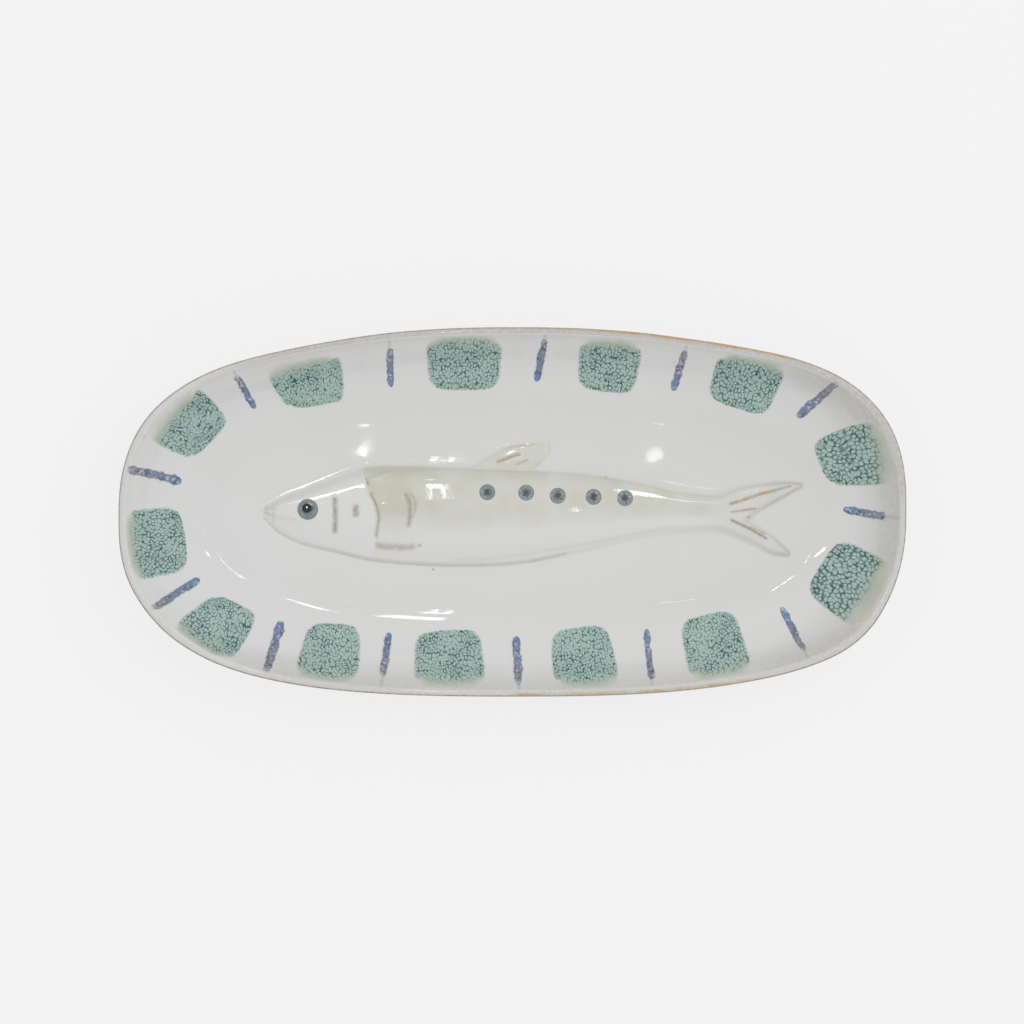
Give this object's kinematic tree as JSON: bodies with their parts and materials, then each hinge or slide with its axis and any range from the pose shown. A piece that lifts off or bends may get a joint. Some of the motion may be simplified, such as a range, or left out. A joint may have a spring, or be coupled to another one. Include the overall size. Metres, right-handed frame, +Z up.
{
  "type": "serving platter",
  "caption": "Oval coupe-shaped stoneware platter on a foot ring, with a fish in relief on its floor and brushed glaze blocks and strokes round the wall, for serving food.",
  "frame": {"origin": "middle of the foot ring's resting face, under the middle of the platter", "axes": "+X along the platter from the fish's nose towards its tail, +Y across it towards the fish's back, +Z up"},
  "size_m": [0.35, 0.164, 0.035],
  "materials": {
    "white_glaze": "gloss",
    "head_glaze": "gloss",
    "olive_glaze": "gloss",
    "bare_clay": "matte",
    "eye_glaze": "gloss",
    "pupil_glaze": "gloss",
    "green_glaze": "gloss",
    "blue_glaze": "gloss"
  },
  "bodies": {
    "root": {"dish_body": "white_glaze", "foot_ring": "bare_clay", "fish_head": "head_glaze", "fish_trunk": "olive_glaze", "dorsal_fin": "olive_glaze", "tail_upper_lobe": "olive_glaze", "tail_lower_lobe": "olive_glaze", "eye_ring": "eye_glaze", "eye_pupil": "pupil_glaze", "side_spot_1": "eye_glaze", "side_spot_2": "eye_glaze", "side_spot_3": "eye_glaze", "side_spot_4": "eye_glaze", "side_spot_5": "eye_glaze", "green_patch_01": "green_glaze", "green_patch_02": "green_glaze", "green_patch_03": "green_glaze", "green_patch_04": "green_glaze", "green_patch_05": "green_glaze", "green_patch_06": "green_glaze", "green_patch_07": "green_glaze", "green_patch_08": "green_glaze", "green_patch_09": "green_glaze", "green_patch_10": "green_glaze", "green_patch_11": "green_glaze", "green_patch_12": "green_glaze", "green_patch_13": "green_glaze", "blue_dash_01": "blue_glaze", "blue_dash_02": "blue_glaze", "blue_dash_03": "blue_glaze", "blue_dash_04": "blue_glaze", "blue_dash_05": "blue_glaze", "blue_dash_06": "blue_glaze", "blue_dash_07": "blue_glaze", "blue_dash_08": "blue_glaze", "blue_dash_09": "blue_glaze", "blue_dash_10": "blue_glaze", "blue_dash_11": "blue_glaze", "blue_dash_12": "blue_glaze", "blue_dash_13": "blue_glaze"}
  },
  "joints": []
}
